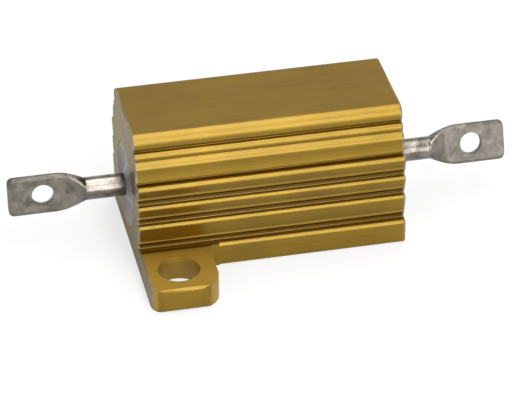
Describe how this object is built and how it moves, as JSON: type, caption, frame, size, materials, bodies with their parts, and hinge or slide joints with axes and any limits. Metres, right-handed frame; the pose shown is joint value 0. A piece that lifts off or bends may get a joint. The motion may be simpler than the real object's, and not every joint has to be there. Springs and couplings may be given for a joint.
{
  "type": "aluminium housed power resistor",
  "caption": "Wirewound power resistor in a ribbed gold anodised aluminium housing, with diagonal mounting lugs and eyed solder terminals.",
  "frame": {"origin": "on the mounting face, midway between the two lug holes", "axes": "+X along the terminals towards the right terminal, -Y towards the front lug, +Z from the mounting face up to the flat top"},
  "size_m": [0.0287, 0.0164, 0.0081],
  "materials": {
    "gold_anodised_aluminium": "gold anodised, satin, with fine extrusion lines",
    "silicone": "cast silicone, smooth, dark grey",
    "ceramic": "fired, unglazed",
    "resistance_alloy": "drawn nickel alloy wire",
    "cap_steel": "drawn stainless steel",
    "tinned_wire": "hot tinned, slightly dull, with press marks"
  },
  "bodies": {
    "root": {"housing": "gold_anodised_aluminium", "silicone_moulding": "silicone", "ceramic_core": "ceramic", "resistance_wire": "resistance_alloy", "end_cap_left": "cap_steel", "end_cap_right": "cap_steel", "terminal_left": "tinned_wire", "terminal_right": "tinned_wire"}
  },
  "joints": []
}
